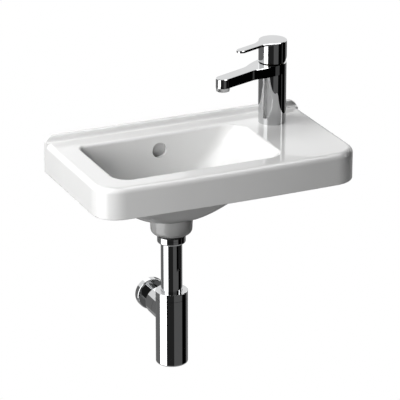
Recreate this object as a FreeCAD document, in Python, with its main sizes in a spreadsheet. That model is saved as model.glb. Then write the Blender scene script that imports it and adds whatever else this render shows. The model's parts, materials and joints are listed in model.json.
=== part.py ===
import FreeCAD, Part
import os
import re
import Sketcher

# Wall-hung hand basin with a single-lever mixer tap and a bottle trap.
# Frame: the wall is the plane Y = 0, the basin stands out towards -Y, X runs along the wall
# and Z is up. The origin lies midway between the two wall fixing holes, at the wall.
# Each piece is drawn about its own axis, with its height zero at the basin's deck.

SIZES = [
    # the ceramic basin
    ("basin_width", 450.0),
    ("basin_depth", 250.0),
    ("front_bow", 4.5),
    ("plan_corner", 42.0),
    ("rim_height", 52.5),
    ("rim_round", 9.0),
    ("apron_foot_round", 2.0),
    ("lip_height", 11.2),
    ("lip_thick", 8.0),
    ("lip_end_round", 14.0),
    ("lip_cove", 5.0),
    ("lip_edge_round", 3.5),
    ("deck_thick", 13.0),
    ("side_wall", 12.0),
    # the wall behind it, with the two fixing holes
    ("deck_height", 70.0),
    ("rear_wall", 14.0),
    ("rear_corner", 25.0),
    ("fixing_spacing", 280.0),
    ("fixing_hole_radius", 7.0),
    ("fixing_margin", 25.0),
    ("fixing_foot", 28.0),
    # the bowl, set by the ledges left round it
    ("left_ledge", 41.0),
    ("right_ledge", 119.0),
    ("front_ledge", 37.0),
    ("bowl_back", 43.0),
    ("bowl_depth", 105.0),
    ("corner_front_left", 27.0),
    ("corner_front_right", 25.0),
    ("corner_back_right", 35.0),
    ("corner_back_left", 14.0),
    ("bowl_edge_round", 5.0),
    ("bowl_wall", 10.0),
    ("floor_thick", 13.0),
    ("floor_margin", 4.0),
    ("floor_flat", 5.0),
    # waste boss and overflow
    ("waste_offset", 41.0),
    ("waste_from_wall", 92.0),
    ("waste_gap", 2.2),
    ("seat_gap", 1.5),
    ("seat_depth", 3.0),
    ("boss_drop", 48.6),
    ("boss_wall", 11.0),
    ("boss_taper", 2.5),
    ("boss_round", 8.0),
    ("overflow_depth", 27.2),
    ("overflow_radius", 12.4),
    ("overflow_edge", 0.8),
    ("duct_margin", 2.5),
    ("duct_head", 1.0),
    ("duct_front_wall", 5.0),
    ("duct_gap", 9.0),
    ("duct_wall", 7.0),
    # tap fixing on the ledge
    ("tap_from_side", 70.0),
    ("tap_from_wall", 58.6),
    ("tap_turn", 22.5),
    ("tap_hole_radius", 17.5),
    # tap body and spout
    ("chamber_gap", 1.65),
    ("body_wall", 3.95),
    ("body_height", 104.3),
    ("spout_reach", 118.8),
    ("spout_half_width", 11.6),
    ("spout_height", 15.7),
    ("spout_droop", 1.5),
    ("spout_shoulder", 130.0),
    ("spout_flare", 42.0),
    ("edge_bevel", 0.8),
    ("water_way_radius", 5.0),
    ("mouth_step", 1.0),
    ("cavity_wall", 3.6),
    ("cavity_lip", 5.0),
    ("cavity_top", 52.0),
    ("port_u", 4.0),
    ("port_v", 8.0),
    ("inlet_radius", 4.5),
    ("inlet_length", 14.0),
    ("port_radius", 3.4),
    ("stud_u", 11.0),
    ("stud_radius", 4.0),
    ("stud_grip", 15.0),
    ("stud_spare", 19.0),
    ("base_seal_margin", 2.2),
    ("base_seal_width", 2.6),
    ("base_seal_height", 1.6),
    ("clamp_radius", 26.0),
    ("clamp_gap_half", 14.5),
    ("clamp_gap_start", 3.5),
    ("clamp_rubber", 3.0),
    ("clamp_plate", 3.0),
    ("nut_flats", 13.0),
    ("nut_height", 8.0),
    # aerator
    ("aerator_taper", 1.0),
    ("aerator_drop", 6.2),
    ("tip_wall", 1.8),
    ("aerator_neck", 7.0),
    ("aerator_wall", 1.6),
    ("aerator_seal", 2.0),
    ("jet_radius", 0.9),
    ("inner_jet_ring", 2.6),
    ("outer_jet_ring", 4.2),
    # cartridge, stacked up from its seat in the body
    ("chamber_depth", 20.3),
    ("cartridge_radius", 17.4),
    ("cartridge_base", 6.0),
    ("port_seal_wall", 1.5),
    ("port_seal_height", 1.5),
    ("fixed_disc", 4.0),
    ("moving_disc_radius", 10.5),
    ("moving_disc", 3.5),
    ("carrier_plate", 2.5),
    ("carrier_rail", 3.2),
    ("carrier_floor", 1.3),
    ("rail_half_length", 5.0),
    ("ball_radius", 3.0),
    ("ball_arm", 8.0),
    ("pivot_radius", 1.5),
    ("pivot_half_length", 12.0),
    ("pivot_roof", 1.4),
    ("rotor_neck_radius", 11.0),
    ("slot_half_length", 9.4),
    ("stem_half", 4.0),
    ("stem_arm_radius", 3.2),
    ("stem_below", 4.0),
    ("stem_seat", 5.4),
    ("housing_wall", 2.6),
    ("housing_step", 1.8),
    ("housing_shoulder", 16.0),
    ("housing_lip", 3.0),
    ("housing_seal_height", 2.5),
    ("housing_seal_depth", 1.0),
    ("nut_ring_height", 7.5),
    # handle
    ("handle_gap", 1.4),
    ("skirt_proud", 0.3),
    ("skirt_wall", 2.7),
    ("skirt_height", 31.9),
    ("skirt_roof", 0.9),
    ("lever_thick", 3.6),
    ("lever_reach", 83.5),
    ("lever_half_width", 8.0),
    ("lever_flare", 38.0),
    ("relief_start", 3.5),
    ("relief_rise", 15.5),
    ("socket_radius", 9.0),
    ("socket_length", 15.2),
    ("screw_drop", 12.2),
    ("screw_radius", 2.5),
    ("screw_length", 6.0),
    ("indicator_proud", 0.5),
    # waste
    ("flange_radius", 31.5),
    ("flange_thick", 3.0),
    ("gasket_thick", 2.0),
    ("gasket_margin", 1.0),
    ("collar_step", 3.05),
    ("tail_wall", 2.4),
    ("mouth_flare", 1.6),
    ("overflow_slot_width", 11.0),
    ("overflow_slot_drop", 5.0),
    ("overflow_slot_height", 16.0),
    ("hub_wall", 2.6),
    ("hub_rise", 10.6),
    ("hub_height", 10.0),
    ("arm_width", 3.0),
    ("sleeve_radius", 6.0),
    ("sleeve_head", 2.0),
    ("sleeve_length", 30.0),
    ("plug_margin", 1.0),
    ("plug_thick", 3.0),
    ("plug_crown", 1.6),
    ("plug_travel", 8.0),
    ("plug_seal_height", 2.0),
    ("plug_seal_lap", 1.0),
    ("plug_seal_width", 3.5),
    ("plug_stem_radius", 3.6),
    ("collar_wall", 2.7),
    ("lower_gasket", 4.8),
    ("back_nut_height", 4.0),
    # bottle trap
    ("union_grip", 2.2),
    ("union_floor", 2.6),
    ("union_round", 3.0),
    ("washer_thick", 1.5),
    ("pipe_collar", 1.5),
    ("pipe_radius", 17.75),
    ("pipe_wall", 1.5),
    ("pipe_dip", 76.7),
    ("cap_drop", 102.0),
    ("cap_height", 12.7),
    ("cap_skirt", 2.35),
    ("cap_wall", 3.0),
    ("cap_round", 1.0),
    ("cap_seal", 2.5),
    ("seam_gap", 0.5),
    ("neck_wall", 2.65),
    ("bottle_radius", 26.75),
    ("bottle_wall", 2.0),
    ("bottle_height", 116.4),
    ("bottle_round", 2.5),
    ("outlet_drop", 27.7),
    ("outlet_radius", 16.0),
    ("outlet_wall", 1.5),
    ("outlet_behind_wall", 18.0),
    ("spigot_step", 0.25),
    ("outlet_nut_inset", 1.95),
    ("outlet_nut_wall", 3.5),
    ("outlet_nut_length", 25.5),
    ("outlet_nut_floor", 2.5),
    ("outlet_seal", 3.0),
    ("flange_plate_margin", 11.0),
    ("flange_plate_depth", 12.0),
    ("flange_plate_wall", 2.5),
    ("flange_plate_round", 2.0),
    # clearances, and how far a cut runs past a face
    ("fit", 0.05),
    ("slack", 0.3),
    ("pocket_slack", 0.2),
    ("over_cut", 1.0),
]

# Lengths that follow from the sizes, each worked out from sizes and from lengths named here.
FOLLOWS = [
    # the basin's plan and rear wall
    ("bow_radius", "((basin_width / 2)^2 + front_bow^2) / (2 * front_bow)"),
    ("bow_centre", "bow_radius - basin_depth"),
    ("corner_x", "basin_width / 2 - plan_corner"),
    ("corner_y", "bow_centre - sqrt((bow_radius - plan_corner)^2 - corner_x^2)"),
    ("rear_drop", "deck_height + fixing_foot"),
    ("rear_half", "fixing_spacing / 2 + fixing_margin"),
    # radii of the waste and trap
    ("tail_radius", "pipe_radius + collar_step"),
    ("tail_bore", "tail_radius - tail_wall"),
    ("mouth_radius", "tail_bore + mouth_flare"),
    ("collar_radius", "tail_radius + collar_wall"),
    ("waste_hole_radius", "tail_radius + waste_gap"),
    ("seat_radius", "flange_radius + seat_gap"),
    ("boss_foot_radius", "waste_hole_radius + boss_wall"),
    ("boss_top_radius", "boss_foot_radius + boss_taper"),
    ("hub_radius", "sleeve_radius + hub_wall"),
    ("plug_radius", "flange_radius - plug_margin"),
    ("plug_seal_inner", "mouth_radius + plug_seal_lap"),
    ("neck_radius", "bottle_radius - cap_skirt"),
    ("flange_plate_radius", "outlet_radius + flange_plate_margin"),
    # the bowl and its overflow duct
    ("bowl_left", "basin_width / 2 - left_ledge"),
    ("bowl_right", "basin_width / 2 - right_ledge"),
    ("bowl_front", "basin_depth - front_ledge"),
    ("floor_half", "seat_radius + floor_margin"),
    ("floor_corner", "floor_half - floor_flat"),
    ("duct_width", "2 * (overflow_radius + duct_margin)"),
    ("duct_front", "duct_front_wall - bowl_back"),
    ("duct_back", "duct_front + duct_gap"),
    ("hole_edge", "waste_hole_radius - waste_from_wall"),
    # levels of the waste flange and plug, as heights above the deck
    ("flange_foot", "gasket_thick - bowl_depth - seat_depth"),
    ("flange_top", "flange_foot + flange_thick"),
    ("plug_foot", "flange_top + plug_travel + plug_seal_height + slack"),
    # levels of the boss, waste tail and trap, as depths below the deck
    ("boss_foot", "bowl_depth + boss_drop"),
    ("overflow_slot_top", "bowl_depth + floor_thick + overflow_slot_drop"),
    ("hub_top", "boss_foot - hub_rise"),
    ("back_nut_foot", "boss_foot + lower_gasket + back_nut_height"),
    ("tail_end", "back_nut_foot + slack + union_grip"),
    ("collar_foot", "tail_end + washer_thick + pipe_collar"),
    ("union_foot", "collar_foot + union_floor"),
    ("cap_top", "boss_foot + cap_drop"),
    ("cap_seam", "cap_top + cap_height"),
    ("pipe_foot", "cap_seam + pipe_dip"),
    ("bottle_foot", "cap_seam + bottle_height"),
    ("outlet_depth", "cap_seam + outlet_drop"),
    # the outlet's screwed joint, as distances from the wall
    ("outlet_nut_radius", "bottle_radius - outlet_nut_inset"),
    ("outlet_screw_radius", "outlet_nut_radius - outlet_nut_wall"),
    ("outlet_nut_front", "waste_from_wall - bottle_radius - seam_gap"),
    ("outlet_nut_back", "outlet_nut_front - outlet_nut_length"),
    ("outlet_screw_end", "outlet_nut_back + outlet_nut_floor + outlet_seal"),
    # the tap's body and aerator
    ("tap_offset", "basin_width / 2 - tap_from_side"),
    ("chamber_radius", "cartridge_radius + chamber_gap"),
    ("body_radius", "chamber_radius + body_wall"),
    ("cavity_mouth_radius", "tap_hole_radius - mouth_step"),
    ("cavity_radius", "body_radius - cavity_wall"),
    ("base_seal_outer", "body_radius - base_seal_margin"),
    ("base_seal_inner", "base_seal_outer - base_seal_width"),
    ("stud_tail", "deck_thick + clamp_rubber + clamp_plate + nut_height + stud_spare"),
    ("spout_foot", "body_height - spout_height"),
    ("aerator_low_radius", "spout_half_width - aerator_taper"),
    ("aerator_neck_radius", "spout_half_width - tip_wall"),
    ("aerator_bore", "aerator_neck_radius - aerator_wall"),
    # the cartridge, upwards from its seat, as heights above the deck
    ("seat_level", "body_height - chamber_depth"),
    ("fixed_disc_foot", "seat_level + cartridge_base"),
    ("moving_disc_foot", "fixed_disc_foot + fixed_disc"),
    ("carrier_foot", "moving_disc_foot + moving_disc"),
    ("cup_foot", "carrier_foot + carrier_floor"),
    ("ball_height", "cup_foot + pocket_slack + ball_radius"),
    ("pivot_height", "ball_height + ball_arm"),
    ("rotor_foot", "carrier_foot + carrier_plate + slack"),
    ("rotor_top", "pivot_height + pivot_radius + pivot_roof"),
    ("housing_bore", "cartridge_radius - housing_wall"),
    ("housing_neck_radius", "cartridge_radius - housing_step"),
    ("shoulder_level", "seat_level + housing_shoulder"),
    ("housing_top", "rotor_top + slack + housing_lip"),
    ("disc_radius", "housing_bore - slack"),
    # the handle
    ("skirt_radius", "body_radius + skirt_proud"),
    ("skirt_foot", "body_height + handle_gap"),
    ("skirt_top", "skirt_foot + skirt_height"),
    ("stem_foot", "pivot_height - stem_below"),
    ("stem_top", "skirt_top - stem_seat"),
    ("socket_foot", "skirt_top - socket_length"),
    ("screw_height", "skirt_top - screw_drop"),
]

doc = FreeCAD.newDocument("washbasin")
sheet = doc.addObject("Spreadsheet::Sheet", "Sizes")
for row, (alias, size) in enumerate(SIZES, start=1):
    sheet.set("A%d" % row, alias)
    sheet.set("B%d" % row, str(size))
    sheet.setAlias("B%d" % row, alias)
doc.recompute()

# two lengths within SAME count as equal, and NEAR is the room given to an edge's box
SAME = 1e-4
NEAR = 1.0
bodies = []


def word_finder(names):
    """Finds any of the names as a whole word."""
    return re.compile(r"\b(" + "|".join(names) + r")\b")


SIZE_WORD = word_finder([name for name, size in SIZES])
FORMULAS = dict(FOLLOWS)
LENGTH_WORD = word_finder(FORMULAS)


# Sizes and sketches

def in_sizes(formula):
    """The formula with every length that follows from sizes written out in them."""
    while LENGTH_WORD.search(formula):
        formula = LENGTH_WORD.sub(lambda found: "(" + FORMULAS[found[1]] + ")", formula)
    return formula


def bound(formula):
    """The formula with each size named as a cell of the sheet."""
    return SIZE_WORD.sub(r"Sizes.\1", in_sizes(formula))


def value(formula):
    """What a formula comes to now, in millimetres."""
    return float(sheet.evalExpression(in_sizes(formula)))


def new_body(label, x="0", y="0", z="deck_height", turn="0"):
    """An empty body placed by formulas; turn is its angle about the vertical."""
    body = doc.addObject("PartDesign::Body", label)
    body.Label = label
    for way, formula in (("x", x), ("y", y), ("z", z)):
        body.setExpression("Placement.Base." + way, bound(formula))
    if turn != "0":
        body.setExpression("Placement.Rotation.Angle", bound(turn))
    bodies.append(body)
    return body


def waste_body(label):
    """A body on the waste axis."""
    return new_body(label, x="-waste_offset", y="-waste_from_wall")


def outlet_body(label):
    """A body on the trap's outlet axis, at the wall."""
    return new_body(label, x="-waste_offset", z="deck_height - outlet_depth")


def tap_body(label):
    """A body on the tap axis, with its X along the spout."""
    return new_body(label, x="tap_offset", y="-tap_from_wall", turn="180 + tap_turn")


def new_sketch(body, plane, offset="0"):
    """A sketch on one of the body's own origin planes, moved along its normal."""
    sketch = body.newObject("Sketcher::SketchObject", body.Label + "_sketch")
    support = [f for f in body.Origin.OriginFeatures if f.Role == plane + "_Plane"][0]
    sketch.AttachmentSupport = [(support, "")]
    sketch.MapMode = "FlatFace"
    if offset != "0":
        sketch.setExpression("AttachmentOffset.Base.z", bound(offset))
    return sketch


def pin_point(sketch, geometry, point, x, y):
    """Holds a point of the sketch at two formulas."""
    for kind, formula, axis in (("DistanceX", x, -2), ("DistanceY", y, -1)):
        if formula == "0":
            sketch.addConstraint(Sketcher.Constraint("PointOnObject", geometry, point, axis))
            continue
        number = sketch.addConstraint(Sketcher.Constraint(kind, -1, 1, geometry, point, value(formula)))
        sketch.setExpression("Constraints[%d]" % number, bound(formula))


def hold_radius(sketch, geometry, formula):
    number = sketch.addConstraint(Sketcher.Constraint("Radius", geometry, value(formula)))
    sketch.setExpression("Constraints[%d]" % number, bound(formula))


def arc_centre(start, end, radius, left):
    """Centre of the short arc between two points that turns left or right."""
    middle = (start + end) * 0.5
    chord = end - start
    half = chord.Length / 2
    side = FreeCAD.Vector(-chord.y, chord.x, 0) / chord.Length
    reach = max(radius * radius - half * half, 0.0) ** 0.5
    return middle + side * (reach if left else -reach)


def outline(sketch, corners):
    """A closed outline. A corner is (x, y), or (x, y, radius, "left" or "right") where the
    side that leaves it is an arc."""
    points = [FreeCAD.Vector(value(c[0]), value(c[1]), 0) for c in corners]
    starts, ends = [], []
    for n, corner in enumerate(corners):
        start, end = points[n], points[(n + 1) % len(points)]
        if len(corner) == 2:
            side = sketch.addGeometry(Part.LineSegment(start, end), False)
            starts.append((side, 1))
            ends.append((side, 2))
            continue
        left = corner[3] == "left"
        radius = value(corner[2])
        centre = arc_centre(start, end, radius, left)
        circle = Part.Circle(centre, FreeCAD.Vector(0, 0, 1), radius)
        first, last = (start, end) if left else (end, start)
        arc = Part.ArcOfCircle(circle, circle.parameter(first), circle.parameter(last))
        side = sketch.addGeometry(arc, False)
        starts.append((side, 1 if left else 2))
        ends.append((side, 2 if left else 1))
        hold_radius(sketch, side, corner[2])
    for n, corner in enumerate(corners):
        sketch.addConstraint(Sketcher.Constraint("Coincident", *ends[n - 1], *starts[n]))
        pin_point(sketch, *starts[n], corner[0], corner[1])


def box_outline(sketch, left, right, low, high):
    outline(sketch, [(left, low), (right, low), (right, high), (left, high)])


def rounded_box(sketch, left, right, low, high, radii):
    """A rectangle with round corners, whose radii start at the low left and go round leftwards."""
    low_left, low_right, high_right, high_left = radii
    outline(sketch, [
        (f"{left} + {low_left}", low),
        (f"{right} - {low_right}", low, low_right, "left"),
        (right, f"{low} + {low_right}"),
        (right, f"{high} - {high_right}", high_right, "left"),
        (f"{right} - {high_right}", high),
        (f"{left} + {high_left}", high, high_left, "left"),
        (left, f"{high} - {high_left}"),
        (left, f"{low} + {low_left}", low_left, "left"),
    ])


def circle(sketch, radius, x="0", y="0"):
    centre = FreeCAD.Vector(value(x), value(y), 0)
    ring = sketch.addGeometry(Part.Circle(centre, FreeCAD.Vector(0, 0, 1), value(radius)), False)
    pin_point(sketch, ring, 3, x, y)
    hold_radius(sketch, ring, radius)


def handled_disc(sketch, radius, half_width, reach, flare, shoulder):
    """Plan of the spout and of the lever: a disc whose shoulders draw in to a bar with a round tip."""
    both = f"({shoulder} + {flare})"
    inward = f"({half_width} + {flare} + {shoulder} - {radius})"
    bar_start = f"sqrt({both}^2 - {inward}^2)"
    meet_x = f"{shoulder} * {bar_start} / {both}"
    meet_y = f"({radius} - {shoulder} + {shoulder} * {inward} / {both})"
    bar_end = f"{reach} - {half_width}"
    outline(sketch, [
        (f"-({radius})", "0", radius, "left"),
        ("0", f"-({radius})", shoulder, "left"),
        (meet_x, f"-({meet_y})", flare, "right"),
        (bar_start, f"-({half_width})"),
        (bar_end, f"-({half_width})", half_width, "left"),
        (reach, "0", half_width, "left"),
        (bar_end, half_width),
        (bar_start, half_width, flare, "right"),
        (meet_x, meet_y, shoulder, "left"),
        ("0", radius, radius, "left"),
    ])


# Features

def settled(made):
    """Works the feature out and stops the build if it failed."""
    doc.recompute()
    if made.Shape.isNull() or not made.isValid():
        raise RuntimeError(made.Label + " failed: " + made.getStatusString())
    return made


def feature(body, kind, sketch, length, reverse=False, symmetric=False):
    made = body.newObject("PartDesign::" + kind, body.Label + "_" + kind.lower())
    made.Profile = sketch
    made.SideType = "Symmetric" if symmetric else "One side"
    made.Reversed = reverse
    made.setExpression("Length", bound(length))
    return settled(made)


def pad(body, sketch, length, **ways):
    return feature(body, "Pad", sketch, length, **ways)


def pocket(body, sketch, length, **ways):
    """Cuts the sketch out of the body, and makes sure that something was cut."""
    before = body.Shape.Volume
    made = feature(body, "Pocket", sketch, length, **ways)
    if body.Shape.Volume > before - 1e-6:
        raise RuntimeError(body.Label + ": a pocket cuts nothing")
    return made


def loft(body, kind, sketches):
    made = body.newObject("PartDesign::" + kind, body.Label + "_loft")
    made.Profile = sketches[0]
    made.Sections = sketches[1:]
    return settled(made)


def turned(body, profile, kind="Revolution"):
    """Revolves a closed profile of (radius, height) corners about the body's axis; a Groove cuts."""
    sketch = new_sketch(body, "XZ")
    outline(sketch, profile)
    made = body.newObject("PartDesign::" + kind, body.Label + "_turning")
    made.Profile = sketch
    made.ReferenceAxis = (sketch, ["V_Axis"])
    made.Angle = 360
    return settled(made)


def ring(body, inner, outer, low, high):
    """A turned ring between two radii and two heights."""
    return turned(body, [(inner, low), (outer, low), (outer, high), (inner, high)])


def dress(body, kind, size, wanted):
    """Rounds or bevels the edges of the body that the test picks."""
    edges = [f"Edge{n}" for n, edge in enumerate(body.Tip.Shape.Edges, start=1) if wanted(edge)]
    if not edges:
        raise RuntimeError(body.Label + ": no edge to dress")
    made = body.newObject("PartDesign::" + kind, body.Label + "_" + kind.lower())
    made.Base = (body.Tip if body.Tip != made else body.Group[-2], edges)
    made.setExpression("Radius" if kind == "Fillet" else "Size", bound(size))
    return settled(made)


def level(edge, height):
    """True where the whole edge lies at one height."""
    box = edge.BoundBox
    return abs(box.ZMin - height) < SAME and abs(box.ZMax - height) < SAME


def circle_at(radius, height):
    """A test for level circles or arcs of one radius at one height."""
    size, place = value(radius), value(height)

    def wanted(edge):
        curve = edge.Curve
        return isinstance(curve, Part.Circle) and abs(curve.Radius - size) < SAME and level(edge, place)

    return wanted


# The ceramic basin

# How each bowl wall runs from the deck to the floor: the share of its run that is an even
# slope, and how square the turn into the floor is.
BOWL_WALLS = {"left": (0.2, 1.5), "right": (0.9, 2.0), "back": (0.55, 3.0), "front": (0.32, 1.5)}
BOWL_STATIONS = (0.0, 0.2, 0.4, 0.6, 0.75, 0.87, 0.94, 0.98, 1.0)
BOWL_CORNERS = ("corner_front_left", "corner_front_right", "corner_back_right", "corner_back_left")


def rim_outline(sketch, inset, back):
    """Plan of the rim, drawn in by a wall: straight sides and a bowed front with round corners."""
    bow = f"(bow_radius - {inset})"
    corner = f"(plan_corner - {inset})"
    stretch = f"{bow} / (bow_radius - plan_corner)"
    touch_x = f"corner_x * {stretch}"
    touch_y = f"bow_centre + (corner_y - bow_centre) * {stretch}"
    side = f"(basin_width / 2 - {inset})"
    outline(sketch, [
        (f"-{side}", back),
        (f"-{side}", "corner_y", corner, "left"),
        (f"-({touch_x})", touch_y, bow, "left"),
        (touch_x, touch_y, corner, "left"),
        (side, "corner_y"),
        (side, back),
    ])


def wall_run(wall, share):
    """How far a bowl wall has run in towards the waste at a share of the bowl's depth."""
    slope, square = BOWL_WALLS[wall]
    turn = 1 - (1 - share ** square) ** (1 / square)
    return slope * share + (1 - slope) * turn


def bowl_section(body, share, wall, top, depth):
    """One level of the bowl, inside (wall 0) or outside."""
    half = f"(floor_half + {wall})"
    run = {name: "%.5f" % wall_run(name, share) for name in BOWL_WALLS}
    left = f"(bowl_left + {wall} - {run['left']} * (bowl_left + {wall} - waste_offset - {half}))"
    right = f"(bowl_right + {wall} - {run['right']} * (bowl_right + {wall} + waste_offset - {half}))"
    back = f"(bowl_back - {wall} + {run['back']} * (waste_from_wall - {half} - bowl_back + {wall}))"
    front = f"(bowl_front + {wall} - {run['front']} * (bowl_front + {wall} - waste_from_wall - {half}))"
    corners = [f"({corner} + {wall} + {share} * (floor_corner - {corner}))" for corner in BOWL_CORNERS]
    sketch = new_sketch(body, "XY", f"{top} - {share} * ({depth} + {top})")
    rounded_box(sketch, f"-{left}", right, f"-{front}", f"-{back}", corners)
    return sketch


def off_wall(edge):
    """True for an edge that stands out from the wall."""
    return edge.BoundBox.YMin < -NEAR


def in_bowl(edge):
    """True for an edge within the bowl's opening."""
    box = edge.BoundBox
    across = box.XMin > -value("bowl_left") - NEAR and box.XMax < value("bowl_right") + NEAR
    return across and box.YMin > -value("bowl_front") - NEAR and box.YMax < -value("bowl_back") + NEAR


def overflow_rim(edge):
    """True for the edge of the overflow hole that faces the bowl."""
    box = edge.BoundBox
    reach = value("overflow_radius") + NEAR
    across = box.XMin > -value("waste_offset") - reach and box.XMax < -value("waste_offset") + reach
    upright = box.ZMin > -value("overflow_depth") - reach and box.ZMax < -value("overflow_depth") + reach
    return across and upright and box.YMax < value("duct_front") - NEAR and box.YMin > -value("waste_from_wall")


def make_basin():
    basin = new_body("basin")
    plan = new_sketch(basin, "XY")
    rim_outline(plan, "0", "0")
    pad(basin, plan, "rim_height", reverse=True)
    deck, foot = 0.0, -value("rim_height")
    dress(basin, "Fillet", "rim_round", lambda e: level(e, deck) and off_wall(e))
    dress(basin, "Fillet", "apron_foot_round", lambda e: level(e, foot) and off_wall(e))

    lip = new_sketch(basin, "YZ")
    outline(lip, [
        ("0", "-rim_round"),
        ("0", "lip_height"),
        ("-lip_thick + lip_edge_round", "lip_height", "lip_edge_round", "left"),
        ("-lip_thick", "lip_height - lip_edge_round"),
        ("-lip_thick", "lip_cove", "lip_cove", "right"),
        ("-lip_thick - lip_cove", "0"),
        ("-lip_thick - lip_cove", "-rim_round"),
    ])
    pad(basin, lip, "basin_width", symmetric=True)
    for side, turn in (("", "left"), ("-", "right")):
        end = new_sketch(basin, "XZ")
        outline(end, [
            (f"{side}(basin_width / 2)", "lip_height - lip_end_round", "lip_end_round", turn),
            (f"{side}(basin_width / 2 - lip_end_round)", "lip_height"),
            (f"{side}(basin_width / 2)", "lip_height"),
        ])
        pocket(basin, end, "lip_thick + lip_cove + over_cut", reverse=True)

    hollow = new_sketch(basin, "XY", "-rim_height")
    rim_outline(hollow, "side_wall", "-rear_wall")
    pocket(basin, hollow, "rim_height - deck_thick", reverse=True)

    rear = new_sketch(basin, "XZ")
    outline(rear, [
        ("-rear_half + rear_corner", "-rear_drop"),
        ("rear_half - rear_corner", "-rear_drop", "rear_corner", "left"),
        ("rear_half", "-rear_drop + rear_corner"),
        ("rear_half", "-deck_thick / 2"),
        ("-rear_half", "-deck_thick / 2"),
        ("-rear_half", "-rear_drop + rear_corner", "rear_corner", "left"),
    ])
    pad(basin, rear, "rear_wall")

    shell = [bowl_section(basin, share, "bowl_wall", "(-deck_thick / 2)", "(bowl_depth + floor_thick)")
             for share in BOWL_STATIONS]
    loft(basin, "AdditiveLoft", shell)

    boss_top = new_sketch(basin, "XY", "-bowl_depth")
    circle(boss_top, "boss_top_radius", "-waste_offset", "-waste_from_wall")
    boss_foot = new_sketch(basin, "XY", "-boss_foot")
    circle(boss_foot, "boss_foot_radius", "-waste_offset", "-waste_from_wall")
    loft(basin, "AdditiveLoft", [boss_top, boss_foot])
    dress(basin, "Fillet", "boss_round", circle_at("boss_foot_radius", "-boss_foot"))

    duct = new_sketch(basin, "YZ", "-waste_offset")
    outline(duct, [
        ("duct_back + duct_wall", "-deck_thick / 2"),
        ("-waste_from_wall", "-deck_thick / 2"),
        ("-waste_from_wall", "-boss_foot + boss_round"),
        ("hole_edge - duct_wall", "-boss_foot + boss_round"),
        ("duct_back + duct_wall", "-bowl_depth - floor_thick"),
    ])
    pad(basin, duct, "duct_width + 2 * duct_wall", symmetric=True)

    bowl = [bowl_section(basin, share, "0", "over_cut", "bowl_depth") for share in BOWL_STATIONS]
    loft(basin, "SubtractiveLoft", bowl)
    dress(basin, "Fillet", "bowl_edge_round", lambda e: level(e, deck) and in_bowl(e))

    seat = new_sketch(basin, "XY", "-bowl_depth + seat_depth")
    circle(seat, "seat_radius", "-waste_offset", "-waste_from_wall")
    pocket(basin, seat, "2 * seat_depth")
    waste = new_sketch(basin, "XY", "-bowl_depth")
    circle(waste, "waste_hole_radius", "-waste_offset", "-waste_from_wall")
    pocket(basin, waste, "boss_foot")

    channel = new_sketch(basin, "YZ", "-waste_offset")
    outline(channel, [
        ("duct_front", "-overflow_depth + overflow_radius + duct_head"),
        ("duct_front", "-bowl_depth + seat_depth"),
        ("hole_edge - duct_wall", "-bowl_depth - floor_thick - duct_gap"),
        ("hole_edge - duct_wall", "-boss_foot + boss_round + duct_wall"),
        ("duct_back", "-bowl_depth - floor_thick + duct_wall"),
        ("duct_back", "-overflow_depth + overflow_radius + duct_head"),
    ])
    pocket(basin, channel, "duct_width", symmetric=True)
    overflow = new_sketch(basin, "XZ", "waste_from_wall")
    circle(overflow, "overflow_radius", "-waste_offset", "-overflow_depth")
    pocket(basin, overflow, "waste_from_wall + (duct_front + duct_back) / 2")
    dress(basin, "Fillet", "overflow_edge", overflow_rim)

    tap_hole = new_sketch(basin, "XY", "lip_height")
    circle(tap_hole, "tap_hole_radius", "tap_offset", "-tap_from_wall")
    pocket(basin, tap_hole, "lip_height + deck_thick + over_cut")
    fixings = new_sketch(basin, "XZ")
    circle(fixings, "fixing_hole_radius", "-fixing_spacing / 2", "-deck_height")
    circle(fixings, "fixing_hole_radius", "fixing_spacing / 2", "-deck_height")
    pocket(basin, fixings, "rear_wall + over_cut", reverse=True)


# The waste

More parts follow.
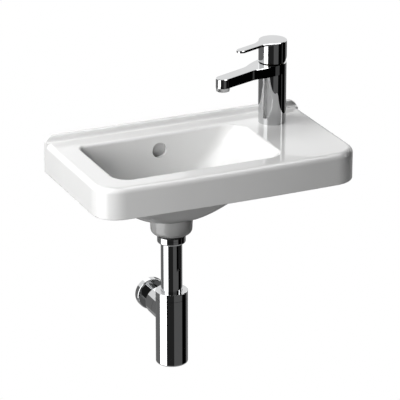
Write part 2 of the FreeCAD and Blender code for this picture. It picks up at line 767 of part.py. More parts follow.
def make_waste():
    gasket = waste_body("waste_flange_gasket")
    ring(gasket, "waste_hole_radius - gasket_margin", "flange_radius - gasket_margin",
         "flange_foot - gasket_thick", "flange_foot")

    waste = waste_body("waste_body")
    turned(waste, [
        ("tail_bore", "-tail_end"),
        ("tail_radius", "-tail_end"),
        ("tail_radius", "flange_foot"),
        ("flange_radius", "flange_foot"),
        ("flange_radius", "flange_top - flange_thick / 2"),
        ("flange_radius - flange_thick / 2", "flange_top"),
        ("mouth_radius", "flange_top"),
        ("tail_bore", "flange_top - flange_thick"),
    ])
    for plane in ("XZ", "YZ"):
        slot = new_sketch(waste, plane)
        box_outline(slot, "-overflow_slot_width / 2", "overflow_slot_width / 2",
                    "-overflow_slot_top - overflow_slot_height", "-overflow_slot_top")
        pocket(waste, slot, "3 * tail_radius", symmetric=True)
    for long_way, short_way in (("X", "Y"), ("Y", "X")):
        arm = new_sketch(waste, "XY", "-hub_top - hub_height")
        reach = {long_way: "(tail_bore + tail_wall / 2)", short_way: "arm_width / 2"}
        box_outline(arm, f"-{reach['X']}", reach["X"], f"-{reach['Y']}", reach["Y"])
        pad(waste, arm, "hub_height")
    hub = new_sketch(waste, "XY", "-hub_top - hub_height")
    circle(hub, "hub_radius")
    pad(waste, hub, "hub_height")
    hub_bore = new_sketch(waste, "XY", "-hub_top - hub_height")
    circle(hub_bore, "sleeve_radius + fit")
    pocket(waste, hub_bore, "hub_height", reverse=True)

    sleeve = waste_body("plug_latch_sleeve")
    sleeve_top = "(-hub_top + sleeve_head)"
    turned(sleeve, [
        ("0", f"{sleeve_top} - sleeve_length"),
        ("sleeve_radius", f"{sleeve_top} - sleeve_length"),
        ("sleeve_radius", "-hub_top"),
        ("hub_radius", "-hub_top"),
        ("hub_radius", sleeve_top),
        ("plug_stem_radius + fit", sleeve_top),
        ("plug_stem_radius + fit", f"{sleeve_top} - sleeve_length + sleeve_head"),
        ("0", f"{sleeve_top} - sleeve_length + sleeve_head"),
    ])

    plug = waste_body("waste_plug")
    turned(plug, [
        ("0", "plug_foot"),
        ("plug_radius", "plug_foot"),
        ("plug_radius", "plug_foot + plug_thick - plug_crown"),
        ("plug_radius / 2", "plug_foot + plug_thick - plug_crown / 4"),
        ("0", "plug_foot + plug_thick"),
    ])
    seal = waste_body("waste_plug_seal")
    ring(seal, "plug_seal_inner", "plug_seal_inner + plug_seal_width",
         "plug_foot - plug_seal_height", "plug_foot")
    stem = waste_body("waste_plug_stem")
    stem_end = f"({sleeve_top} - plug_travel / 2 - slack)"
    turned(stem, [
        ("0", stem_end),
        ("plug_stem_radius", stem_end),
        ("plug_stem_radius", "plug_foot"),
        ("0", "plug_foot"),
    ])

    lower = waste_body("waste_lower_gasket")
    gasket_foot = "(-boss_foot - lower_gasket)"
    ring(lower, "tail_radius + fit", "collar_radius", gasket_foot, "-boss_foot")
    back_nut = waste_body("waste_back_nut")
    ring(back_nut, "tail_radius + fit", "collar_radius", f"{gasket_foot} - back_nut_height", gasket_foot)


# The bottle trap

def make_trap():
    nut = waste_body("trap_union_nut")
    nut_top = "-back_nut_foot - slack"
    turned(nut, [
        ("pipe_radius + slack", "-union_foot"),
        ("collar_radius", "-union_foot"),
        ("collar_radius", nut_top),
        ("tail_radius + fit", nut_top),
        ("tail_radius + fit", "-collar_foot"),
        ("pipe_radius + slack", "-collar_foot"),
    ])
    dress(nut, "Fillet", "union_round", circle_at("collar_radius", "-union_foot"))
    washer = waste_body("trap_inlet_washer")
    ring(washer, "pipe_radius - pipe_wall", "tail_radius", "-tail_end - washer_thick", "-tail_end")

    pipe = waste_body("trap_downpipe")
    turned(pipe, [
        ("pipe_radius - pipe_wall", "-pipe_foot"),
        ("pipe_radius", "-pipe_foot"),
        ("pipe_radius", "-collar_foot"),
        ("tail_radius", "-collar_foot"),
        ("tail_radius", "pipe_collar - collar_foot"),
        ("pipe_radius - pipe_wall", "pipe_collar - collar_foot"),
    ])

    cap = waste_body("trap_cap")
    cap_foot = "(-cap_seam + seam_gap)"
    roof = "(-cap_top - cap_wall)"
    turned(cap, [
        ("neck_radius + fit", cap_foot),
        ("bottle_radius", cap_foot),
        ("bottle_radius", "-cap_top"),
        ("pipe_radius + slack", "-cap_top"),
        ("pipe_radius + slack", roof),
        ("neck_radius + fit", roof),
    ])
    dress(cap, "Fillet", "cap_round", circle_at("bottle_radius", "-cap_top"))
    seal = waste_body("trap_cap_seal")
    ring(seal, "pipe_radius + fit", "neck_radius - slack", f"{roof} - cap_seal", roof)

    bottle = waste_body("trap_bottle")
    inner = "(bottle_radius - bottle_wall)"
    neck_inner = "(neck_radius - neck_wall)"
    neck_top = f"({roof} - cap_seal)"
    turned(bottle, [
        ("0", "-bottle_foot"),
        ("bottle_radius", "-bottle_foot"),
        ("bottle_radius", "-cap_seam"),
        ("neck_radius", "-cap_seam"),
        ("neck_radius", neck_top),
        ("0", neck_top),
    ])
    dress(bottle, "Fillet", "bottle_round", circle_at("bottle_radius", "-bottle_foot"))
    branch = new_sketch(bottle, "XZ")
    circle(branch, "outlet_nut_radius", "0", "-outlet_depth")
    pad(bottle, branch, "bottle_radius", reverse=True)
    thread = new_sketch(bottle, "XZ")
    circle(thread, "outlet_screw_radius", "0", "-outlet_depth")
    pad(bottle, thread, "waste_from_wall - outlet_screw_end", reverse=True)
    turned(bottle, [
        ("0", "-bottle_foot + bottle_wall"),
        (inner, "-bottle_foot + bottle_wall"),
        (inner, "-cap_seam - 2 * bottle_wall"),
        (neck_inner, "-cap_seam - bottle_wall"),
        (neck_inner, neck_top),
        ("0", neck_top),
    ], kind="Groove")
    side_hole = new_sketch(bottle, "XZ")
    circle(side_hole, "outlet_radius + fit", "0", "-outlet_depth")
    pocket(bottle, side_hole, "waste_from_wall - outlet_screw_end")


def make_outlet():
    nut = outlet_body("trap_outlet_nut")
    face = new_sketch(nut, "XZ", "outlet_nut_front")
    circle(face, "outlet_nut_radius")
    pad(nut, face, "outlet_nut_length", reverse=True)
    bore = new_sketch(nut, "XZ", "outlet_nut_front")
    circle(bore, "outlet_screw_radius + fit")
    pocket(nut, bore, "outlet_nut_length - outlet_nut_floor")
    neck = new_sketch(nut, "XZ", "outlet_nut_front")
    circle(neck, "outlet_radius + slack")
    pocket(nut, neck, "outlet_nut_length")
    seal = outlet_body("trap_outlet_seal")
    packing = new_sketch(seal, "XZ", "outlet_screw_end")
    circle(packing, "outlet_screw_radius")
    circle(packing, "outlet_radius + fit")
    pad(seal, packing, "outlet_seal", reverse=True)

    outlet = outlet_body("trap_outlet_tube")
    inlet = "waste_from_wall - bottle_radius + 2 * bottle_wall"
    mouth = new_sketch(outlet, "XZ", inlet)
    circle(mouth, "outlet_radius")
    circle(mouth, "outlet_radius - outlet_wall")
    pad(outlet, mouth, inlet, reverse=True)
    spigot = new_sketch(outlet, "XZ")
    circle(spigot, "outlet_radius - spigot_step")
    circle(spigot, "outlet_radius - outlet_wall")
    pad(outlet, spigot, "outlet_behind_wall", reverse=True)

    flange = outlet_body("trap_wall_flange")
    face = new_sketch(flange, "XZ", "flange_plate_depth")
    circle(face, "flange_plate_radius")
    pad(flange, face, "flange_plate_depth", reverse=True)
    dress(flange, "Fillet", "flange_plate_round",
          lambda e: abs(e.BoundBox.YMax + value("flange_plate_depth")) < SAME)
    back = new_sketch(flange, "XZ")
    circle(back, "flange_plate_radius - flange_plate_wall")
    pocket(flange, back, "flange_plate_depth - flange_plate_wall", reverse=True)
    through = new_sketch(flange, "XZ")
    circle(through, "outlet_radius + fit")
    pocket(flange, through, "flange_plate_depth", reverse=True)


# The tap: heights are above the deck, X runs along the spout

# where the stem's arm leaves the ball, as shares of the ball's radius
BALL_OUT, BALL_UP = 0.8, 0.6


def both_ports(sketch, radius):
    """The hot and cold ports, one each side of the spout's line."""
    circle(sketch, radius, "port_u", "port_v")
    circle(sketch, radius, "port_u", "-port_v")


def cut_round(body, radius, low, height, x="0", y="0"):
    """A round vertical hole from one height upwards."""
    sketch = new_sketch(body, "XY", low)
    circle(sketch, radius, x, y)
    pocket(body, sketch, height, reverse=True)


def make_tap_body():
    body = tap_body("tap_body")
    spout_root = "(spout_foot - spout_droop)"
    spout = new_sketch(body, "XY", spout_root)
    tip = "(spout_reach + spout_half_width)"
    handled_disc(spout, "body_radius", "spout_half_width", tip, "spout_flare", "spout_shoulder")
    pad(body, spout, "spout_height + spout_droop")
    top = value("body_height")
    dress(body, "Chamfer", "edge_bevel", lambda e: level(e, top))
    # the underside rises from the column to a level seat for the aerator
    rise = new_sketch(body, "XZ")
    outline(rise, [
        ("body_radius", spout_root),
        ("spout_reach - spout_half_width", "spout_foot"),
        (f"{tip} + over_cut", "spout_foot"),
        (f"{tip} + over_cut", f"{spout_root} - over_cut"),
        ("body_radius", f"{spout_root} - over_cut"),
    ])
    pocket(body, rise, "3 * body_radius", symmetric=True)
    column = new_sketch(body, "XY")
    circle(column, "body_radius")
    pad(body, column, "body_height - edge_bevel")

    cut_round(body, "chamber_radius", "seat_level", "body_height - seat_level")
    cut_round(body, "cavity_mouth_radius", "0", "cavity_lip")
    cut_round(body, "cavity_radius", "cavity_lip", "cavity_top - cavity_lip")
    groove = new_sketch(body, "XY")
    circle(groove, "base_seal_inner")
    circle(groove, "base_seal_outer")
    pocket(body, groove, "base_seal_height", reverse=True)
    inlets = new_sketch(body, "XY", "cavity_top")
    both_ports(inlets, "inlet_radius")
    pocket(body, inlets, "inlet_length", reverse=True)
    ports = new_sketch(body, "XY", "cavity_top")
    both_ports(ports, "port_radius")
    pocket(body, ports, "seat_level - cavity_top", reverse=True)
    cut_round(body, "stud_radius + fit", "cavity_top", "stud_grip + slack", "-stud_u")

    cut_round(body, "aerator_neck_radius + fit", "spout_foot", "aerator_neck + aerator_seal", "spout_reach")
    water_way = new_sketch(body, "YZ")
    circle(water_way, "water_way_radius", "0", "spout_foot + aerator_neck + aerator_seal")
    pocket(body, water_way, "spout_reach", reverse=True)


def make_tap_fixing():
    seal = tap_body("tap_base_seal")
    ring(seal, "base_seal_inner + fit", "base_seal_outer - fit", "0", "base_seal_height")

    stud = tap_body("tap_fixing_stud")
    rod = new_sketch(stud, "XY", "-stud_tail")
    circle(rod, "stud_radius", "-stud_u")
    pad(stud, rod, "stud_tail + cavity_top + stud_grip")

    levels = (("tap_clamp_gasket", "clamp_rubber", "(-deck_thick - clamp_rubber)"),
              ("tap_clamp_plate", "clamp_plate", "(-deck_thick - clamp_rubber - clamp_plate)"))
    for label, thick, foot in levels:
        clamp = tap_body(label)
        disc = new_sketch(clamp, "XY", foot)
        circle(disc, "clamp_radius")
        circle(disc, "stud_radius + slack", "-stud_u")
        pad(clamp, disc, thick)
        gap = new_sketch(clamp, "XY", foot)
        box_outline(gap, "-clamp_gap_start", "2 * clamp_radius", "-clamp_gap_half", "clamp_gap_half")
        pocket(clamp, gap, thick, reverse=True)

    nut = tap_body("tap_fixing_nut")
    foot = "(-deck_thick - clamp_rubber - clamp_plate - nut_height)"
    hexagon = new_sketch(nut, "XY", foot)
    corner, half = "(nut_flats / sqrt(3))", "nut_flats / 2"
    outline(hexagon, [
        (f"-stud_u + {corner}", "0"),
        (f"-stud_u + {corner} / 2", half),
        (f"-stud_u - {corner} / 2", half),
        (f"-stud_u - {corner}", "0"),
        (f"-stud_u - {corner} / 2", f"-{half}"),
        (f"-stud_u + {corner} / 2", f"-{half}"),
    ])
    circle(hexagon, "stud_radius + fit", "-stud_u")
    pad(nut, hexagon, "nut_height")


def make_aerator():
    def on_tip(label):
        spot = "tap_offset - spout_reach * cos(tap_turn)"
        return new_body(label, spot, "-tap_from_wall - spout_reach * sin(tap_turn)", turn="180 + tap_turn")

    neck_top = "(spout_foot + aerator_neck)"
    shell = on_tip("aerator_ring")
    turned(shell, [
        ("aerator_bore", "spout_foot - aerator_drop"),
        ("aerator_low_radius", "spout_foot - aerator_drop"),
        ("spout_half_width", "spout_foot"),
        ("aerator_neck_radius", "spout_foot"),
        ("aerator_neck_radius", neck_top),
        ("aerator_bore", neck_top),
    ])
    washer = on_tip("aerator_washer")
    ring(washer, "water_way_radius + slack", "aerator_neck_radius", neck_top, f"{neck_top} + aerator_seal")
    insert = on_tip("aerator_insert")
    face = "(spout_foot - aerator_drop + slack)"
    turned(insert, [
        ("0", face),
        ("aerator_bore - fit", face),
        ("aerator_bore - fit", neck_top),
        ("water_way_radius + slack", neck_top),
        ("water_way_radius + slack", f"{face} + aerator_seal"),
        ("0", f"{face} + aerator_seal"),
    ])
    cut_round(insert, "jet_radius", face, "aerator_seal")
    for jet_ring, count in (("inner_jet_ring", 6), ("outer_jet_ring", 12)):
        jet = new_sketch(insert, "XY", face)
        circle(jet, "jet_radius", jet_ring)
        hole = pocket(insert, jet, "aerator_seal", reverse=True)
        turns = insert.newObject("PartDesign::PolarPattern", "aerator_jets")
        turns.Originals = [hole]
        turns.Axis = (jet, ["N_Axis"])
        turns.Angle = 360
        turns.Occurrences = count
        insert.Tip = turns
        settled(turns)


def make_cartridge():
    base = tap_body("cartridge_base")
    turned(base, [
        ("0", "seat_level"),
        ("cartridge_radius", "seat_level"),
        ("cartridge_radius", "fixed_disc_foot"),
        ("0", "fixed_disc_foot"),
    ])
    steps = (("port_radius", "cartridge_base"), ("port_radius + port_seal_wall", "port_seal_height"))
    for radius, height in steps:
        ports = new_sketch(base, "XY", "seat_level")
        both_ports(ports, radius)
        pocket(base, ports, height, reverse=True)
    cut_round(base, "port_radius", "seat_level", "cartridge_base", "-stud_u + port_radius")
    outlet = new_sketch(base, "XY", "seat_level")
    box_outline(outlet, "-2 * cartridge_radius", "-stud_u + port_radius", "-port_radius", "port_radius")
    pocket(base, outlet, "cartridge_base / 2", reverse=True)

    seals = tap_body("cartridge_port_seals")
    seal_plan = new_sketch(seals, "XY", "seat_level")
    both_ports(seal_plan, "port_radius + fit")
    both_ports(seal_plan, "port_radius + port_seal_wall - fit")
    pad(seals, seal_plan, "port_seal_height")

    fixed = tap_body("fixed_ceramic_disc")
    plate = new_sketch(fixed, "XY", "fixed_disc_foot")
    circle(plate, "disc_radius")
    both_ports(plate, "port_radius")
    circle(plate, "port_radius", "-stud_u + port_radius")
    pad(fixed, plate, "fixed_disc")

    moving = tap_body("moving_ceramic_disc")
    slider = new_sketch(moving, "XY", "moving_disc_foot")
    circle(slider, "moving_disc_radius")
    pad(moving, slider, "moving_disc")
    mixer = new_sketch(moving, "XY", "moving_disc_foot")
    rounded_box(mixer, "(-port_radius - port_u)", "port_radius", "(-port_radius)", "port_radius",
                ["(port_radius / 2)"] * 4)
    pocket(moving, mixer, "moving_disc / 2", reverse=True)

    carrier = tap_body("disc_carrier")
    rail_top = "(carrier_foot + carrier_plate + carrier_rail)"
    disc = new_sketch(carrier, "XY", "carrier_foot")
    circle(disc, "moving_disc_radius")
    pad(carrier, disc, "carrier_plate")
    rail = new_sketch(carrier, "XY", "carrier_foot + carrier_plate")
    box_outline(rail, "-rail_half_length", "rail_half_length", "-stem_half", "stem_half")
    pad(carrier, rail, "carrier_rail")
    cut_round(carrier, "ball_radius + pocket_slack", "cup_foot", f"{rail_top} - cup_foot")

    rotor = tap_body("cartridge_rotor")
    turned(rotor, [
        ("0", "rotor_foot"),
        ("disc_radius", "rotor_foot"),
        ("disc_radius", "rotor_top"),
        ("rotor_neck_radius", "rotor_top"),
        ("rotor_neck_radius", "housing_top"),
        ("0", "housing_top"),
    ])
    slot = new_sketch(rotor, "XY", "rotor_foot")
    box_outline(slot, "-slot_half_length", "slot_half_length",
                "-stem_half - pocket_slack", "stem_half + pocket_slack")
    pocket(rotor, slot, "housing_top - rotor_foot", reverse=True)
    cross = new_sketch(rotor, "XZ")
    circle(cross, "pivot_radius", "0", "pivot_height")
    pocket(rotor, cross, "2 * pivot_half_length", symmetric=True)

    pin = tap_body("lever_pivot_pin")
    rod = new_sketch(pin, "XZ")
    circle(rod, "pivot_radius", "0", "pivot_height")
    pad(pin, rod, "2 * pivot_half_length", symmetric=True)

    stem = tap_body("lever_stem")
    turned(stem, [
        ("0", "ball_height - ball_radius", "ball_radius", "left"),
        ("ball_radius", "ball_height", "ball_radius", "left"),
        (f"{BALL_OUT} * ball_radius", f"ball_height + {BALL_UP} * ball_radius"),
        ("stem_arm_radius", "stem_foot"),
        ("0", "stem_foot"),
    ])
    square = new_sketch(stem, "XY", "stem_foot")
    box_outline(square, "-stem_half", "stem_half", "-stem_half", "stem_half")
    pad(stem, square, "stem_top - stem_foot")
    eye = new_sketch(stem, "XZ")
    circle(eye, "pivot_radius + fit", "0", "pivot_height")
    pocket(stem, eye, "4 * stem_half", symmetric=True)

    housing = tap_body("cartridge_housing")
    seal_foot = "(shoulder_level - 2 * housing_seal_height)"
    groove = "(cartridge_radius - housing_seal_depth)"
    turned(housing, [
        ("housing_bore", "fixed_disc_foot"),
        ("cartridge_radius", "fixed_disc_foot"),
        ("cartridge_radius", seal_foot),
        (groove, seal_foot),
        (groove, f"{seal_foot} + housing_seal_height"),
        ("cartridge_radius", f"{seal_foot} + housing_seal_height"),
        ("cartridge_radius", "shoulder_level"),
        ("housing_neck_radius", "shoulder_level"),
        ("housing_neck_radius", "housing_top"),
        ("rotor_neck_radius + slack", "housing_top"),
        ("rotor_neck_radius + slack", "rotor_top + slack"),
        ("housing_bore", "rotor_top + slack"),
    ])
    seal = tap_body("cartridge_housing_seal")
    ring(seal, f"{groove} + fit", "chamber_radius - fit", seal_foot, f"{seal_foot} + housing_seal_height")
    nut = tap_body("cartridge_nut")
    ring(nut, "housing_neck_radius + slack", "chamber_radius - fit",
         "shoulder_level", "shoulder_level + nut_ring_height")


def make_handle():
    handle = tap_body("tap_handle")
    lever = new_sketch(handle, "XY", "skirt_top")
    handled_disc(lever, "skirt_radius", "lever_half_width", "lever_reach", "lever_flare", "skirt_radius")
    pad(handle, lever, "lever_thick")
    lever_top = value("skirt_top + lever_thick")
    dress(handle, "Chamfer", "edge_bevel", lambda e: level(e, lever_top))
    skirt = new_sketch(handle, "XY", "skirt_foot")
    circle(skirt, "skirt_radius")
    pad(handle, skirt, "skirt_height")
    cut_round(handle, "skirt_radius - skirt_wall", "skirt_foot", "skirt_height - skirt_roof")
    socket = new_sketch(handle, "XY", "socket_foot")
    circle(socket, "socket_radius")
    pad(handle, socket, "skirt_top - socket_foot")
    square = new_sketch(handle, "XY", "socket_foot")
    box_outline(square, "-stem_half - fit", "stem_half + fit", "-stem_half - fit", "stem_half + fit")
    pocket(handle, square, "stem_top + slack - socket_foot", reverse=True)
    screw_hole = new_sketch(handle, "YZ")
    circle(screw_hole, "screw_radius + fit", "0", "screw_height")
    pocket(handle, screw_hole, "skirt_radius + over_cut", reverse=True)
    relief = new_sketch(handle, "XZ")
    outline(relief, [
        ("-relief_start", "skirt_foot"),
        ("-skirt_radius - over_cut", "skirt_foot + relief_rise"),
        ("-skirt_radius - over_cut", "skirt_foot"),
    ])
    pocket(handle, relief, "3 * skirt_radius", symmetric=True)

    screw = tap_body("handle_set_screw")
    thread = new_sketch(screw, "YZ", "stem_half + fit")
    circle(thread, "screw_radius", "0", "screw_height")
    pad(screw, thread, "screw_length")
    button = tap_body("temperature_button")
    cap = new_sketch(button, "YZ", "skirt_radius - skirt_wall")
    circle(cap, "screw_radius", "0", "screw_height")
    pad(button, cap, "skirt_wall + indicator_proud")


def check_all():
    """Stops before anything is written if an object failed or a piece is not a sound solid."""
    doc.recompute()
    for item in doc.Objects:
        if "Invalid" in item.State or "Error" in item.State:
            raise RuntimeError(item.Label + " is in a failed state")
    for body in bodies:
        if body.Shape.isNull() or not body.Shape.isValid() or not body.Shape.Solids:
            raise RuntimeError(body.Label + " is not a sound solid")


make_basin()
make_waste()
make_trap()
make_outlet()
make_tap_body()
make_tap_fixing()
make_aerator()
make_cartridge()
make_handle()
check_all()
os.makedirs("parts", exist_ok=True)
for body in bodies:
    body.Shape.exportStep("parts/" + body.Label + ".step")
    print(body.Label, len(body.Shape.Solids), round(body.Shape.Volume))
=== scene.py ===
import json
import math

import bpy
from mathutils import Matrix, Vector

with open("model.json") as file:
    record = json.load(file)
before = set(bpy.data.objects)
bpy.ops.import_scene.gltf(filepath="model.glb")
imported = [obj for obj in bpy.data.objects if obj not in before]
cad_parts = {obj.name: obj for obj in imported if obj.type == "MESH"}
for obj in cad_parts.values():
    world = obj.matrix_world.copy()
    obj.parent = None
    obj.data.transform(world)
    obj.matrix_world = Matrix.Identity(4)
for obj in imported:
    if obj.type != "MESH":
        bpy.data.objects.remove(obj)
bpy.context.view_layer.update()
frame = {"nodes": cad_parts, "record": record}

# Looks of a wall-hung hand basin with a lever mixer tap and a bottle trap.
# Lengths are in metres in the part's frame: the wall is Y = 0, the room lies towards -Y, Z is up.
# Bearings are in degrees from straight in front of the basin, positive towards its right.

scene = bpy.context.scene


# Camera

CAMERA_PLACE = Vector((-1.627, -3.769, 1.542))
CAMERA_TURN = math.radians(24.0)
CAMERA_DIP = math.radians(21.4)
CAMERA_LENS = 238.0
SENSOR_WIDTH = 36.0


def make_camera():
    data = bpy.data.cameras.new("camera")
    data.lens = CAMERA_LENS
    data.sensor_width = SENSOR_WIDTH
    camera = bpy.data.objects.new("camera", data)
    level = math.cos(CAMERA_DIP)
    look = Vector((math.sin(CAMERA_TURN) * level, math.cos(CAMERA_TURN) * level, -math.sin(CAMERA_DIP)))
    camera.location = CAMERA_PLACE
    camera.rotation_euler = look.to_track_quat("-Z", "Y").to_euler()
    scene.collection.objects.link(camera)
    scene.camera = camera


# Surround: a white room whose white is seen and mirrored but hardly lights the object

WHITE = (1.0, 1.0, 1.0, 1.0)
BLACK = (0.0, 0.0, 0.0, 1.0)
SEEN_STRENGTH = 1.0
AMBIENT_STRENGTH = 0.01
FLOOR_LEVEL = -4.0
FLOOR_HALF = 9.0
FLOOR_SHADE = (0.06, 0.06, 0.06, 1.0)


def seen_not_lit(tree):
    """1 for rays that see a surface directly or mirrored, 0 for rays that gather light from it."""
    path = tree.nodes.new("ShaderNodeLightPath")
    total = path.outputs["Is Camera Ray"]
    for kind in ("Is Glossy Ray", "Is Transmission Ray"):
        add = tree.nodes.new("ShaderNodeMath")
        add.operation = "ADD"
        add.use_clamp = True
        tree.links.new(total, add.inputs[0])
        tree.links.new(path.outputs[kind], add.inputs[1])
        total = add.outputs[0]
    return total


def white_shader(tree, kind, strength):
    """A white emission or background node of a given strength."""
    shader = tree.nodes.new(kind)
    shader.inputs["Color"].default_value = WHITE
    shader.inputs["Strength"].default_value = strength
    return shader


def matt_shader(tree, colour):
    shader = tree.nodes.new("ShaderNodeBsdfDiffuse")
    shader.inputs["Color"].default_value = colour
    return shader


def lit_or_seen(tree, lit, seen):
    """One shader where light is gathered, the other where the surface is seen or mirrored."""
    mix = tree.nodes.new("ShaderNodeMixShader")
    tree.links.new(seen_not_lit(tree), mix.inputs[0])
    tree.links.new(lit.outputs[0], mix.inputs[1])
    tree.links.new(seen.outputs[0], mix.inputs[2])
    return mix


def show(tree, kind, shader):
    out = tree.nodes.new(kind)
    tree.links.new(shader.outputs[0], out.inputs["Surface"])


def cleared(owner):
    """The empty node tree of a new world or material."""
    owner.use_nodes = True
    owner.node_tree.nodes.clear()
    return owner.node_tree


def make_world():
    world = bpy.data.worlds.new("surround")
    tree = cleared(world)
    light = white_shader(tree, "ShaderNodeBackground", AMBIENT_STRENGTH)
    seen = white_shader(tree, "ShaderNodeBackground", SEEN_STRENGTH)
    show(tree, "ShaderNodeOutputWorld", lit_or_seen(tree, light, seen))
    scene.world = world


def new_stage(name, points, faces, material):
    mesh = bpy.data.meshes.new(name)
    mesh.from_pydata(points, [], faces)
    mesh.materials.append(material)
    piece = bpy.data.objects.new(name, mesh)
    scene.collection.objects.link(piece)
    return piece


def make_floor():
    material = bpy.data.materials.new("floor")
    tree = cleared(material)
    lit = matt_shader(tree, FLOOR_SHADE)
    seen = white_shader(tree, "ShaderNodeEmission", SEEN_STRENGTH)
    show(tree, "ShaderNodeOutputMaterial", lit_or_seen(tree, lit, seen))
    ends = (-FLOOR_HALF, FLOOR_HALF)
    corners = [(x, y, FLOOR_LEVEL) for x in ends for y in ends]
    new_stage("floor", corners, [(0, 2, 3, 1)], material)


# Cards: they stand round the object, and only its chrome and its glaze see them

CARD_CENTRE = Vector((-0.02, -0.09, 0.0))
CARD_RADIUS = 1.1
CARD_STEP = math.radians(6.0)
CARD_FOOT, CARD_TOP = -0.85, 1.3
STEP_LEFT, STEP_RIGHT = -0.42, -0.61
MIDDLE = 0.0
GLINT_TOP = 0.51
REAR_FOOT = 0.33
REAR_TOP_RIGHT, REAR_TOP_LEFT = 0.495, 0.58
# name: first bearing, last bearing, foot, top, brightness
CARDS = {
    "left_white_low": (-114.0, -61.0, CARD_FOOT, STEP_LEFT, 2.8),
    "left_white_high": (-100.0, -61.0, STEP_LEFT, CARD_TOP, 3.5),
    "front_dark": (-61.0, -8.0, CARD_FOOT, CARD_TOP, 0.022),
    "front_grey": (-8.0, 31.0, CARD_FOOT, CARD_TOP, 0.115),
    "right_grey_low": (31.0, 54.0, CARD_FOOT, STEP_RIGHT, 0.115),
    "right_black_low": (54.0, 98.0, CARD_FOOT, STEP_RIGHT, 0.001),
    "right_black_high": (31.0, 61.0, STEP_RIGHT, CARD_TOP, 0.001),
    "right_glint": (61.0, 68.0, STEP_RIGHT, MIDDLE, 0.06),
    "right_glint_high": (61.0, 68.0, MIDDLE, GLINT_TOP, 5.0),
    "right_black_end": (68.0, 98.0, STEP_RIGHT, CARD_TOP, 0.001),
    "rear_grey": (98.0, 246.0, CARD_FOOT, STEP_LEFT, 0.18),
    "rear_grey_high": (98.0, 260.0, STEP_LEFT, MIDDLE, 0.18),
    "rear_white_right": (130.0, 156.0, REAR_FOOT, REAR_TOP_RIGHT, 1.8),
    "rear_white_left": (156.0, 190.0, REAR_FOOT, REAR_TOP_LEFT, 1.7),
}
FLOOR_CARD_GLOW = 0.33
CEILING_GLOW = 0.1
SKYLIGHT_SIDES = (0.2, 0.95)
SKYLIGHT_ENDS = (-0.75, 0.2)
SKYLIGHT_GLOW = 4.0
SKYLIGHT_DROP = 0.01


def glowing_card(name, points, faces, brightness):
    """A card that only mirrors see."""
    material = bpy.data.materials.new(name)
    tree = cleared(material)
    glow = white_shader(tree, "ShaderNodeEmission", brightness)
    show(tree, "ShaderNodeOutputMaterial", glow)
    card = new_stage(name, points, faces, material)
    card.visible_camera = False
    card.visible_diffuse = False
    card.visible_shadow = False


def card_arc(first, last):
    """Places on the cards' circle from the first bearing to the last."""
    start, span = math.radians(first), math.radians(last - first)
    count = math.ceil(span / CARD_STEP)
    bearings = [start + span * n / count for n in range(count + 1)]
    return [(CARD_CENTRE.x + CARD_RADIUS * math.sin(b), CARD_CENTRE.y - CARD_RADIUS * math.cos(b))
            for b in bearings]


def make_card(name, first, last, foot, top, brightness):
    """An upright card that curves round the object."""
    places = card_arc(first, last)
    points = [(x, y, z) for x, y in places for z in (foot, top)]
    faces = [(2 * n, 2 * n + 2, 2 * n + 3, 2 * n + 1) for n in range(len(places) - 1)]
    glowing_card(name, points, faces, brightness)


def make_level_card(name, height, brightness):
    """A round level card over or under the object."""
    points = [(x, y, height) for x, y in card_arc(0.0, 360.0)[:-1]]
    glowing_card(name, points, [tuple(range(len(points)))], brightness)


def make_skylight():
    """A bright patch below the ceiling card, for the glints on front edges."""
    corners = [(x, y, CARD_TOP - SKYLIGHT_DROP) for x in SKYLIGHT_SIDES for y in SKYLIGHT_ENDS]
    glowing_card("skylight", corners, [(0, 1, 3, 2)], SKYLIGHT_GLOW)


# Lamps, and the black cards that shade parts of the object from them

LAMP_AIM = Vector((0.0, -0.11, 0.03))
LAMP_DISTANCE = 2.4
LAMP_WIDTH = 1.4
# name: bearing, climb in degrees, power
LAMPS = {
    "key_high": (-100.0, 50.0, 43.0),
    "key_low": (-100.0, 30.0, 13.0),
    "front_fill": (-50.0, 12.0, 43.0),
    "right_fill": (100.0, 26.0, 27.0),
    "rear_fill": (180.0, -28.0, 30.0),
}
# name: low corner at one end, high corner at the other end
# The front one keeps the front lamp off the underside, the right one keeps the right lamp out of the bowl.
FLAGS = {
    "front_flag": ((-0.32, -0.22, -0.30), (0.16, -0.22, -0.037)),
    "right_flag": ((0.25, -0.40, 0.085), (0.25, 0.10, 0.60)),
}


def make_flag(name, low, high):
    """An upright black card that shades but isn't seen or mirrored."""
    material = bpy.data.materials.new(name)
    tree = cleared(material)
    show(tree, "ShaderNodeOutputMaterial", matt_shader(tree, BLACK))
    corners = [(x, y, z) for x, y in (low[:2], high[:2]) for z in (low[2], high[2])]
    flag = new_stage(name, corners, [(0, 1, 3, 2)], material)
    flag.visible_camera = False
    flag.visible_glossy = False


def make_lamp(name, bearing, climb, power):
    """A soft lamp that shines on the object and isn't mirrored in it."""
    data = bpy.data.lights.new(name, "AREA")
    data.size = LAMP_WIDTH
    data.energy = power
    lamp = bpy.data.objects.new(name, data)
    turn, rise = math.radians(bearing), math.radians(climb)
    level = math.cos(rise)
    towards = Vector((math.sin(turn) * level, -math.cos(turn) * level, math.sin(rise)))
    lamp.location = LAMP_AIM + LAMP_DISTANCE * towards
    lamp.rotation_euler = towards.to_track_quat("Z", "Y").to_euler()
    lamp.visible_glossy = False
    scene.collection.objects.link(lamp)


# Materials: each varies a little over its surface, in metres of the part's frame

EVEN = (1.0, 1.0, 1.0)
BRUSHED = (1.0, 1.0, 20.0)
NOISE_DETAIL = 3.0
# the part of the noise's range that the colours and the gloss spread over
NOISE_LOW, NOISE_HIGH = 0.3, 0.7
# how many blotches of gloss lie side by side on one blotch of colour
GLOSS_FINENESS = 3


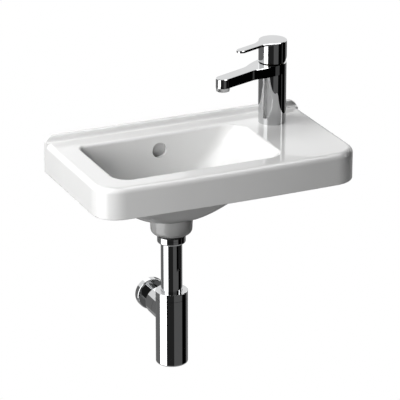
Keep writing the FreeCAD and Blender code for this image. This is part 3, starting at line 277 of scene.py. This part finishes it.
def noise(tree, grain, stretch):
    """A noise whose blotches are about one grain wide, longer along a stretched axis."""
    place = tree.nodes.new("ShaderNodeTexCoord")
    mapping = tree.nodes.new("ShaderNodeMapping")
    mapping.inputs["Scale"].default_value = [1.0 / s for s in stretch]
    pattern = tree.nodes.new("ShaderNodeTexNoise")
    pattern.inputs["Scale"].default_value = 1.0 / grain
    pattern.inputs["Detail"].default_value = NOISE_DETAIL
    tree.links.new(place.outputs["Object"], mapping.inputs["Vector"])
    tree.links.new(mapping.outputs["Vector"], pattern.inputs["Vector"])
    return pattern.outputs["Fac"]


def tint(tree, shader, pattern, dark, light):
    """Base colour that runs from dark to light over a pattern."""
    ramp = tree.nodes.new("ShaderNodeValToRGB")
    for stop, place, colour in zip(ramp.color_ramp.elements, (NOISE_LOW, NOISE_HIGH), (dark, light)):
        stop.position = place
        stop.color = (*colour, 1.0)
    tree.links.new(pattern, ramp.inputs["Fac"])
    tree.links.new(ramp.outputs["Color"], shader.inputs["Base Color"])


def sheen_range(tree, shader, pattern, smooth, rough):
    """Roughness that runs from smooth to rough over a pattern."""
    spread = tree.nodes.new("ShaderNodeMapRange")
    spread.inputs["From Min"].default_value = NOISE_LOW
    spread.inputs["From Max"].default_value = NOISE_HIGH
    spread.inputs["To Min"].default_value = smooth
    spread.inputs["To Max"].default_value = rough
    tree.links.new(pattern, spread.inputs["Value"])
    tree.links.new(spread.outputs["Result"], shader.inputs["Roughness"])


def relief(tree, shader, pattern, height, strength):
    """A fine unevenness of the surface."""
    bump = tree.nodes.new("ShaderNodeBump")
    bump.inputs["Distance"].default_value = height
    bump.inputs["Strength"].default_value = strength
    tree.links.new(pattern, bump.inputs["Height"])
    tree.links.new(bump.outputs["Normal"], shader.inputs["Normal"])


def surface(name, dark, light, smooth, rough, grain, metallic=0.0, stretch=EVEN,
            bump_grain=None, bump_height=0.0, bump_strength=0.0):
    """A finish with its own colour and gloss variation, and relief where it has one."""
    material = bpy.data.materials.new(name)
    material.use_nodes = True
    tree = material.node_tree
    shader = tree.nodes["Principled BSDF"]
    shader.inputs["Metallic"].default_value = metallic
    tint(tree, shader, noise(tree, grain, stretch), dark, light)
    sheen_range(tree, shader, noise(tree, grain / GLOSS_FINENESS, stretch), smooth, rough)
    if bump_grain:
        relief(tree, shader, noise(tree, bump_grain, stretch), bump_height, bump_strength)
    return material


# each finish: dark and light colour, smooth and rough gloss, width of the colour's blotches
FINISHES = {
    "glaze": surface("glaze", (0.80, 0.80, 0.795), (0.83, 0.83, 0.825), 0.012, 0.03, 0.12,
                     bump_grain=0.02, bump_height=0.0002, bump_strength=0.04),
    "chrome": surface("chrome", (0.62, 0.625, 0.63), (0.645, 0.65, 0.655), 0.015, 0.035, 0.03,
                      metallic=1.0),
    "rubber": surface("rubber", (0.012, 0.012, 0.012), (0.028, 0.028, 0.028), 0.55, 0.75, 0.004,
                      bump_grain=0.001, bump_height=0.0001, bump_strength=0.3),
    "seal": surface("seal", (0.02, 0.02, 0.022), (0.04, 0.04, 0.044), 0.5, 0.7, 0.003,
                    bump_grain=0.001, bump_height=0.0001, bump_strength=0.25),
    "steel": surface("steel", (0.50, 0.50, 0.49), (0.66, 0.66, 0.65), 0.22, 0.36, 0.0008,
                     metallic=1.0, stretch=BRUSHED,
                     bump_grain=0.0006, bump_height=0.00003, bump_strength=0.3),
    # brass is set far darker than real brass: painted shade, so the brass ring in the gap under the
    # handle's skirt reads dark
    "brass": surface("brass", (0.07, 0.055, 0.035), (0.12, 0.095, 0.06), 0.3, 0.45, 0.004,
                     metallic=1.0,
                     bump_grain=0.0008, bump_height=0.00003, bump_strength=0.2),
    "acetal": surface("acetal", (0.78, 0.78, 0.75), (0.86, 0.86, 0.84), 0.32, 0.45, 0.006,
                      bump_grain=0.0008, bump_height=0.00004, bump_strength=0.2),
    "carrier": surface("carrier", (0.11, 0.19, 0.46), (0.15, 0.25, 0.55), 0.32, 0.45, 0.006,
                       bump_grain=0.0008, bump_height=0.00004, bump_strength=0.2),
    "alumina": surface("alumina", (0.84, 0.83, 0.79), (0.90, 0.89, 0.86), 0.12, 0.22, 0.004,
                       bump_grain=0.0005, bump_height=0.00001, bump_strength=0.2),
    "jet_plastic": surface("jet_plastic", (0.24, 0.25, 0.26), (0.32, 0.33, 0.34), 0.35, 0.5, 0.003,
                           bump_grain=0.0006, bump_height=0.00003, bump_strength=0.2),
    "indicator": surface("indicator", (0.09, 0.09, 0.10), (0.13, 0.13, 0.14), 0.08, 0.16, 0.002,
                         bump_grain=0.0005, bump_height=0.00002, bump_strength=0.1),
}


def finish_nodes():
    """Gives each CAD node the finish of its material slot in the record."""
    for part in frame["record"]["subparts"]:
        mesh = frame["nodes"][part["node"]].data
        mesh.materials.clear()
        mesh.materials.append(FINISHES[part["material_slot"]])


make_camera()
make_world()
make_floor()
for card_name, card_place in CARDS.items():
    make_card(card_name, *card_place)
make_level_card("floor_card", CARD_FOOT, FLOOR_CARD_GLOW)
make_level_card("ceiling_card", CARD_TOP, CEILING_GLOW)
make_skylight()
for flag_name, flag_corners in FLAGS.items():
    make_flag(flag_name, *flag_corners)
for lamp_name, lamp_place in LAMPS.items():
    make_lamp(lamp_name, *lamp_place)
finish_nodes()
scene.view_settings.view_transform = "Standard"
